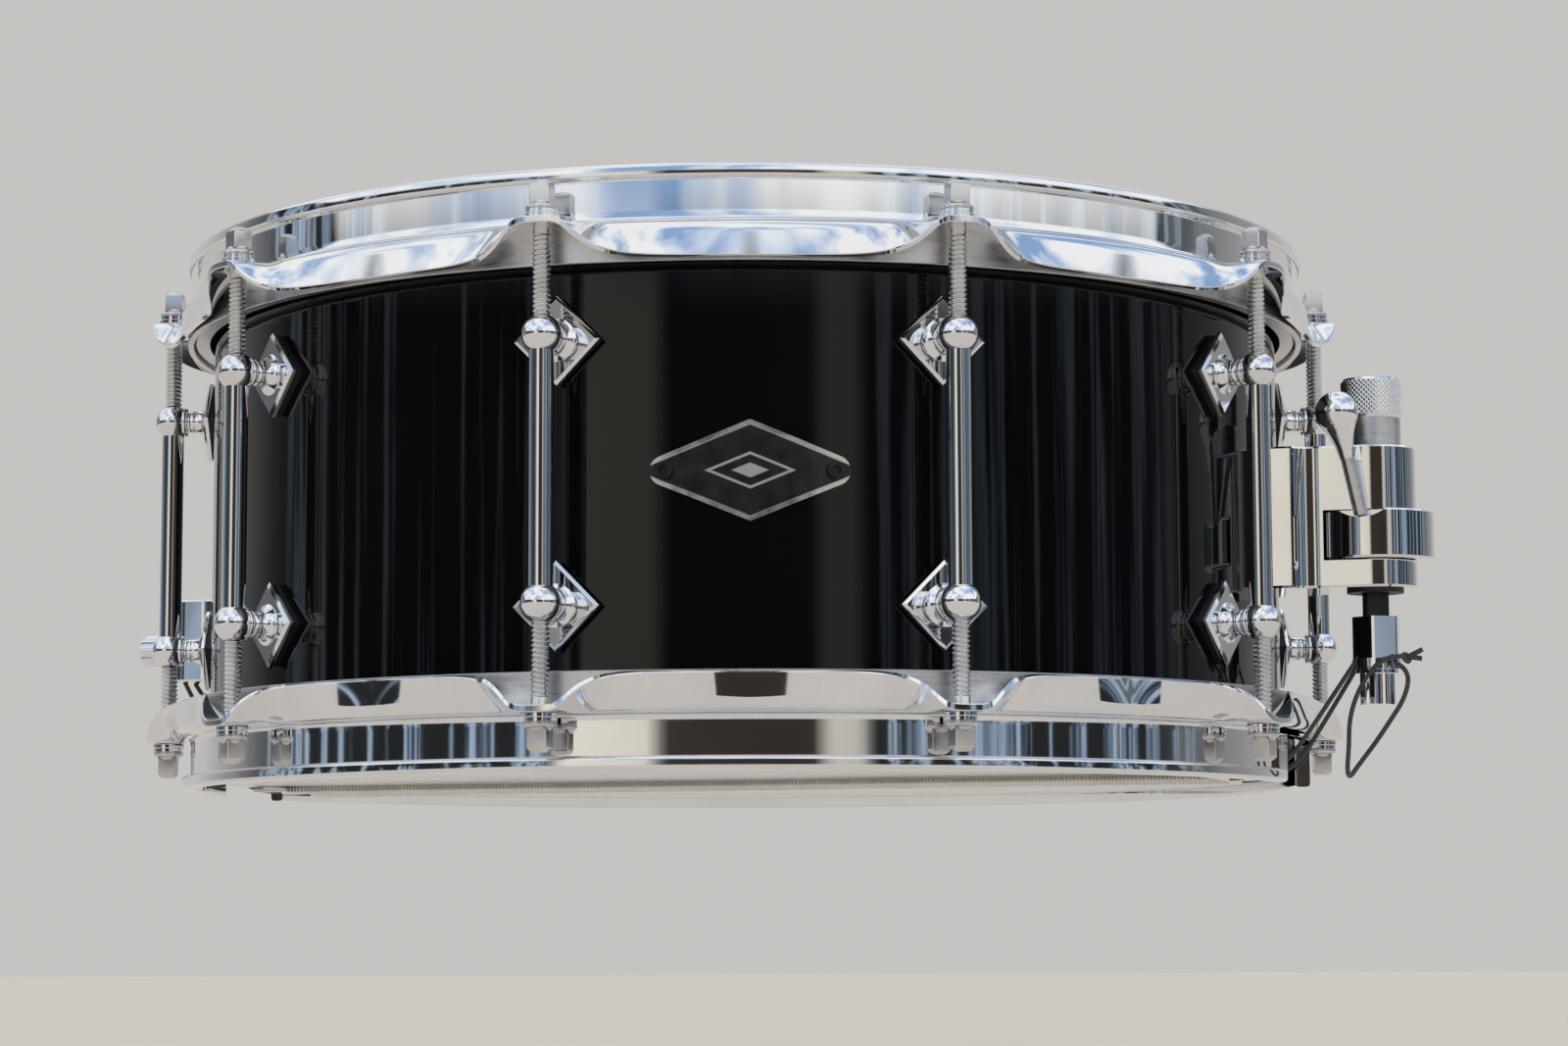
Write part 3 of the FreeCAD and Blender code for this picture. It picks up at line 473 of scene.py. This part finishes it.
def rod_shape(flange):
    shape = Shape()
    seat = flange + 2.6
    place = (np.eye(3), np.array([LUG_R, 0, 0]))
    points, faces = thread(flange - 4.5, 24.2, 2.71, 0.5, 1.4)
    shape.add(points, faces, place)
    points, faces = lathe([(2.45, flange - 4.6), (2.62, flange - 4.2), (2.62, seat)], 36, False)
    shape.add(points, faces, place)
    collar = [(2.6, seat), (4.7, seat), (4.9, seat + 0.2), (4.9, seat + 0.5)]
    collar += [(r, seat + z) for r, z in smooth_line([(4.9, 0.55), (4.5, 1.15), (3.7, 1.7), (3.15, 2.4)], 5)]
    points, faces = lathe(collar + [(0, seat + 2.4)], 48, False)
    shape.add(points, faces, place)
    half = 2.95
    rows = [(half, 1.7, 0.25), (half, 7.0, 0.25), (half - 0.12, 7.7, 0.5), (half - 0.5, 8.25, 0.9),
            (half - 1.15, 8.55, 1.2), (0.2, 8.6, 0.1)]
    rings = []
    for h, z, bevel in rows:
        for sx, sy in ((1, 1), (-1, 1), (-1, -1), (1, -1)):
            flip = sx * sy > 0
            first = (sx * h, sy * (h - bevel)) if flip else (sx * (h - bevel), sy * h)
            second = (sx * (h - bevel), sy * h) if flip else (sx * h, sy * (h - bevel))
            rings += [[first[0], first[1], seat + z], [second[0], second[1], seat + z]]
    faces = strip(len(rows), 8)
    faces.append(list(range(len(rows) * 8 - 8, len(rows) * 8)))
    shape.add(rings, faces, place)
    return shape


def mirrored(shape):
    other = Shape()
    other.add(np.concatenate(shape.points) * np.array([1, 1, -1.0]), [f[::-1] for f in shape.faces])
    return other


lug = lug_shape()
batter_rod = rod_shape(BATTER_FLANGE)
snare_rod = mirrored(rod_shape(SNARE_FLANGE))
for number, angle in enumerate(LUGS, 1):
    mesh("lug_chrome_%02d" % number, lug, chrome, "drum", ["tube_lug_%02d" % number], 28.0, about(angle))
    for kind, shape in (("batter", batter_rod), ("snare", snare_rod)):
        node = "%s_rod_%02d" % (kind, number)
        mesh(node + "_steel", shape, steel, node, [node], 40.0, about(angle))

washers = Shape()
for angle in LUGS:
    for flange, up in ((BATTER_FLANGE, 1), (SNARE_FLANGE, -1)):
        for low_z, radius in ((0.0, 5.1), (1.3, 4.8)):
            line = [(3.1, low_z), (radius - 0.15, low_z), (radius, low_z + 0.15), (radius, low_z + 1.1),
                    (radius - 0.2, low_z + 1.3), (3.1, low_z + 1.3)]
            points, faces = lathe([(r, up * (flange + z)) for r, z in line], 48)
            washers.add(points, faces if up > 0 else [f[::-1] for f in faces], about(angle, (LUG_R, 0, 0)))
mesh("washers_chrome", washers, chrome, "drum", ["rod_washers"])


# ---- Cords. Points are in metres in the strainer's own frame, heights from the mid-plane ----
def strand_points(side):
    return [(0.1650, 0.0120 * side, -0.0845), (0.1800, 0.0114 * side, -0.0845),
            (0.1937, 0.0076 * side, -0.0647), (0.2063, 0.0040 * side, -0.0452)]


LOOP_POINTS = [(0.2108, -0.0052, -0.0479), (0.2170, -0.0042, -0.0475), (0.2216, -0.0030, -0.0520),
               (0.2196, -0.0016, -0.0595), (0.2150, 0.0002, -0.0660), (0.2096, 0.0019, -0.0734),
               (0.2036, 0.0028, -0.0808), (0.2018, -0.0027, -0.0846), (0.2019, -0.0090, -0.0823),
               (0.2028, -0.0100, -0.0754), (0.2030, -0.0094, -0.0665), (0.2054, -0.0092, -0.0586),
               (0.2094, -0.0104, -0.0522), (0.2140, -0.0116, -0.0474), (0.2204, -0.0096, -0.0466)]


def to_row(point, angle):
    """Point in the drum's frame from one in the strainer's or the butt's, both in metres."""
    r, v = about(angle)
    return Vector(r @ np.asarray(point, float)) + Vector((0, 0, RAISE / 1000))


def cord_line(points, angle):
    """Points read from the smooth NURBS line that a cord's route controls."""
    curve = bpy.data.curves.new("route", "CURVE")
    curve.dimensions = "3D"
    curve.resolution_u = 12
    spline = curve.splines.new("NURBS")
    spline.points.add(len(points) - 1)
    for control, point in zip(spline.points, points):
        control.co = (*to_row(point, angle), 1.0)
    spline.order_u = 3
    spline.use_endpoint_u = True
    holder = bpy.data.objects.new("route", curve)
    data = bpy.data.meshes.new_from_object(holder)
    line = [np.array(vertex.co) for vertex in data.vertices]
    bpy.data.meshes.remove(data)
    bpy.data.objects.remove(holder)
    bpy.data.curves.remove(curve)
    return line


def ribbed(line, radius):
    """Tube along a line, its radius stepping with the cord's close ribs."""
    cuts = [0.0]
    for a, b in zip(line, line[1:]):
        cuts.append(cuts[-1] + float(np.linalg.norm(b - a)))
    total = cuts[-1]
    steps = max(8, int(total / 0.00016))
    at = np.linspace(0, total, steps)
    path = np.stack([np.interp(at, cuts, [p[k] for p in line]) for k in range(3)], 1)
    tangent = np.gradient(path, axis=0)
    tangent /= np.linalg.norm(tangent, axis=1)[:, None]
    side = np.cross(tangent[0], [0.3, 0.2, 0.9])
    points = []
    for i in range(steps):
        side = side - tangent[i] * (side @ tangent[i])
        side /= np.linalg.norm(side)
        other = np.cross(tangent[i], side)
        r = radius * (1.0 - 0.11 * (0.5 + 0.5 * math.cos(2 * math.pi * at[i] / 0.00075)))
        for j in range(12):
            a = 2 * math.pi * j / 12
            points.append(path[i] + side * (r * math.cos(a)) + other * (r * math.sin(a)))
    faces = strip(steps, 12)
    faces += [list(range(12))[::-1], list(range(steps * 12 - 12, steps * 12))]
    points = np.array(points) * 1000.0 - np.array([0, 0, RAISE])
    return points, faces


def add_strands(name, node, angle):
    shape = Shape()
    for side in (-1, 1):
        shape.add(*ribbed(cord_line(strand_points(side), angle), 0.00079))
    obj = mesh(name, shape, cord_cloth, "drum", (), 60.0)
    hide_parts(node)
    return obj


strands = add_strands("strainer_strands", "snare_cords", STRAINER_AT)
add_strands("butt_strands", "butt_cords", BUTT_AT)
strands.parent = None
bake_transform(strands)

loop_line = cord_line(LOOP_POINTS, STRAINER_AT)
loop = mesh("loop_cord", Shape().add(*ribbed(loop_line, 0.0008)), cord_cloth, "lift",
            ["spare_cord_loop"], 60.0)


# ---- Knurled tension knob ----
def build_knob():
    """Diamond knurling between two plain bevels, under a slightly sunk top."""
    around, rows = 320, 84
    low_z, high_z = 30.2, 43.2
    points = []
    for i in range(rows):
        z = low_z + 0.9 + (high_z - low_z - 1.8) * i / (rows - 1)
        for j in range(around):
            a = 2 * math.pi * j / around
            u = 40 * j / around
            v = (z - low_z) / 1.55
            first = abs((u + v) % 1.0 * 2 - 1)
            second = abs((u - v) % 1.0 * 2 - 1)
            r = 9.8 - 0.42 * (1 - min(first, second))
            if i in (0, rows - 1):
                r = 9.35
            points.append([r * math.cos(a), r * math.sin(a), z])
    shape = Shape().add(points, [f[::-1] for f in strip(rows, around)[::-1]])
    for line in ([(3.2, low_z), (8.9, low_z), (9.35, low_z + 0.9)],
                 [(9.35, high_z - 0.9), (9.0, high_z - 0.15), (8.6, high_z), (6.6, high_z),
                  (6.3, high_z - 0.3), (0.0, high_z - 0.3)]):
        points, faces = lathe(line, 96, False)
        shape.add(points, faces)
    return mesh("knob_knurled", shape, chrome, "knob", ["tension_knob"], 40.0,
                about(STRAINER_AT, (AXIS_R, 0, 0)))


build_knob()


# ---- Coiled snare strands ----
COIL_LENGTH = 318                           # from one plate to the other
COIL_PITCH = 1.25
COIL_R = 0.78
WIRE_R = 0.21
SNARE_Z = -84.2


def build_snares():
    """Twenty coiled strands side by side, between two flat plates."""
    shape = Shape()
    turns = int(COIL_LENGTH / COIL_PITCH)
    for i in range(20):
        y = (i - 9.5) * 2.2
        count = turns * 9
        s = np.linspace(0, 1, count)
        a = s * 2 * np.pi * turns
        x = COIL_LENGTH * s - COIL_LENGTH / 2
        line = np.stack([x, y + COIL_R * np.cos(a), SNARE_Z + COIL_R * np.sin(a)], 1)
        radial = np.stack([np.zeros(count), np.cos(a), np.sin(a)], 1)
        along = np.tile([1.0, 0, 0], (count, 1))
        ring = []
        for k in range(4):
            b = 2 * math.pi * k / 4
            ring.append(line + radial * WIRE_R * math.cos(b) + along * WIRE_R * math.sin(b))
        points = np.stack(ring, 1).reshape(-1, 3)
        shape.add(points, strip(count, 4))
    for side in (-1, 1):
        x0, x1 = (158.0, 170.0) if side > 0 else (-170.0, -158.0)
        rows = []
        for z in (SNARE_Z - 0.5, SNARE_Z + 0.5):
            rows += [[x0, -23, z], [x1, -23, z], [x1, 23, z], [x0, 23, z]]
        shape.add(rows, [[3, 2, 1, 0], [4, 5, 6, 7]] + strip(2, 4))
    return mesh("snare_coils", shape, wire_steel, "snares", ["snare_wires"], 60.0, about(STRAINER_AT))


build_snares()


# ---- Finishes on the CAD pieces that are shown as they are ----
FINISHES = {
    "lug_gaskets": rubber, "inner_screws": steel, "badge": badge_metal, "badge_rivets": black_metal,
    "strainer_body": chrome, "strainer_ring": chrome, "lever_arm": satin, "lever_knob": chrome,
    "tension_sleeve": satin, "lift_rod": black_metal, "guide_bush": rubber,
    "clamp_block": chrome, "clamp_screw": chrome, "cord_knot": cord_cloth, "snare_wires": wire_steel,
    "butt_body": chrome, "butt_screw": chrome,
}
for node, material in FINISHES.items():
    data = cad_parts[node].data
    data.materials.clear()
    data.materials.append(material)


# ---- Floor, light and camera ----
def stage_plane(name, corners, material):
    data = bpy.data.meshes.new(name)
    data.from_pydata([tuple(c) for c in corners], [], [[0, 1, 2, 3]])
    obj = bpy.data.objects.new(name, data)
    data.materials.append(material)
    bpy.context.scene.collection.objects.link(obj)
    return obj


floor_paint = finish_material("floor_paint", (0.83, 0.72, 0.60), (0.87, 0.76, 0.64), (0.6, 0.8), 0.0, 2.0,
                              0.1)
FLOOR_Z = -0.6
FLOOR_HALF = 30
stage_plane("floor", [(x, y, FLOOR_Z) for x, y in ((-FLOOR_HALF, -FLOOR_HALF), (FLOOR_HALF, -FLOOR_HALF),
                                                   (FLOOR_HALF, FLOOR_HALF), (-FLOOR_HALF, FLOOR_HALF))],
            floor_paint)

# The surroundings are only seen as reflections and as the plain backdrop.
world = bpy.data.worlds.new("studio")
bpy.context.scene.world = world
world.use_nodes = True
tree = world.node_tree
background = tree.nodes["Background"]
coordinates = tree.nodes.new("ShaderNodeTexCoord")
split = tree.nodes.new("ShaderNodeSeparateXYZ")
tree.links.new(coordinates.outputs["Generated"], split.inputs["Vector"])


def world_math(kind, first, second=None):
    node = tree.nodes.new("ShaderNodeMath")
    node.operation = kind
    for socket, value in zip(node.inputs, (first, second)):
        if isinstance(value, (int, float)):
            socket.default_value = value
        elif value is not None:
            tree.links.new(value, socket)
    return node.outputs[0]


def blend_colours(fac, first, second):
    node = tree.nodes.new("ShaderNodeMix")
    node.data_type = "RGBA"
    tree.links.new(fac, node.inputs[0])
    tree.links.new(first, node.inputs[6])
    tree.links.new(second, node.inputs[7])
    return node.outputs[2]


PALE = (0.56, 0.55, 0.535)
SHADE = (0.040, 0.032, 0.027)
LEAF = (0.02, 0.022, 0.022)
# Directions run from 0 to 1 round the room. 0 and 1 are in front of the drum, where the camera is.
WALL_STOPS = [
    (0.0, SHADE), (0.045, (0.045, 0.036, 0.030)), (0.055, (0.74, 0.70, 0.60)), (0.10, (0.84, 0.79, 0.69)),
    (0.11, (0.05, 0.06, 0.07)), (0.14, (0.26, 0.34, 0.46)), (0.16, (0.03, 0.03, 0.03)),
    (0.20, (0.30, 0.31, 0.33)), (0.235, (0.05, 0.05, 0.05)), (0.27, (0.30, 0.36, 0.46)),
    (0.33, (0.22, 0.22, 0.22)), (0.40, PALE), (0.60, PALE), (0.67, (0.30, 0.30, 0.30)),
    (0.74, (0.10, 0.11, 0.12)), (0.785, LEAF), (0.83, (0.20, 0.27, 0.36)), (0.85, LEAF),
    (0.93, (0.022, 0.022, 0.022)), (0.94, (0.55, 0.52, 0.46)), (0.955, (0.60, 0.57, 0.50)), (0.965, SHADE),
]
direction = world_math("ARCTAN2", split.outputs["X"], split.outputs["Y"])
round_room = world_math("ADD", world_math("DIVIDE", direction, 2 * math.pi), 0.5)
walls = ramp(tree, round_room, WALL_STOPS)
tall = tree.nodes.new("ShaderNodeMapping")
tall.inputs["Scale"].default_value = (1.0, 1.0, 0.10)
tree.links.new(coordinates.outputs["Generated"], tall.inputs["Vector"])
streaks = tree.nodes.new("ShaderNodeTexNoise")
streaks.inputs["Scale"].default_value = 13.0
streaks.inputs["Detail"].default_value = 4.0
streaks.inputs["Roughness"].default_value = 0.62
tree.links.new(tall.outputs["Vector"], streaks.inputs["Vector"])
glints = ramp(tree, streaks.outputs["Fac"], [(0.50, (0.02, 0.022, 0.022)), (0.54, (0.20, 0.27, 0.36)),
                                             (0.58, (0.44, 0.54, 0.68)), (0.63, (0.10, 0.12, 0.12))])
sides = ramp(tree, round_room, [(0.105, (0,) * 3), (0.115, (1,) * 3), (0.30, (1,) * 3), (0.34, (0,) * 3),
                                (0.70, (0,) * 3), (0.76, (1,) * 3), (0.925, (1,) * 3), (0.94, (0,) * 3)])
wooded = blend_colours(sides.outputs["Color"], walls.outputs["Color"], glints.outputs["Color"])
clouds = tree.nodes.new("ShaderNodeTexNoise")
clouds.inputs["Scale"].default_value = 2.2
clouds.inputs["Detail"].default_value = 5.0
tree.links.new(coordinates.outputs["Generated"], clouds.inputs["Vector"])
sky = ramp(tree, clouds.outputs["Fac"], [(0.40, (0.30, 0.45, 0.72)), (0.48, (0.68, 0.77, 0.90)),
                                         (0.55, (1.0, 1.0, 0.99))])
ground = ramp(tree, clouds.outputs["Fac"], [(0.3, (0.27, 0.265, 0.26)), (0.7, (0.33, 0.325, 0.32))])
height = split.outputs["Z"]
back = world_math("MULTIPLY", world_math("MAXIMUM", split.outputs["Y"], 0.0), 0.55)
sky_share = tree.nodes.new("ShaderNodeMapRange")
sky_share.inputs["From Min"].default_value = 0.17
sky_share.inputs["From Max"].default_value = 0.21
tree.links.new(world_math("SUBTRACT", height, back), sky_share.inputs["Value"])
ground_share = tree.nodes.new("ShaderNodeMapRange")
ground_share.inputs["From Min"].default_value = -0.05
ground_share.inputs["From Max"].default_value = -0.08
tree.links.new(height, ground_share.inputs["Value"])
lower = blend_colours(ground_share.outputs["Result"], wooded, ground.outputs["Color"])
room = blend_colours(sky_share.outputs["Result"], lower, sky.outputs["Color"])
tree.links.new(room, background.inputs["Color"])
background.inputs["Strength"].default_value = 1.0

bpy.context.scene.view_settings.view_transform = "Standard"

# The camera as it was fitted to the photograph. Its angles are in radians and its place in metres.
camera_data = bpy.data.cameras.new("camera")
camera_data.sensor_width = 36.0
camera_data.lens = 80.58
camera = bpy.data.objects.new("camera", camera_data)
bpy.context.scene.collection.objects.link(camera)
yaw, pitch, roll = 0.017733, 0.109913, -0.003460
forward = Vector((math.sin(yaw) * math.cos(pitch), math.cos(yaw) * math.cos(pitch), math.sin(pitch)))
right = Vector((math.cos(yaw), -math.sin(yaw), 0))
above = right.cross(forward)
side_axis = right * math.cos(roll) + above * math.sin(roll)
up_axis = -right * math.sin(roll) + above * math.cos(roll)
turned = Matrix((side_axis, up_axis, -forward)).transposed().to_4x4()
turned.translation = Vector((-0.00809, -1.17869, (-125.77 + RAISE) / 1000.0))
camera.matrix_world = turned
bpy.context.scene.camera = camera
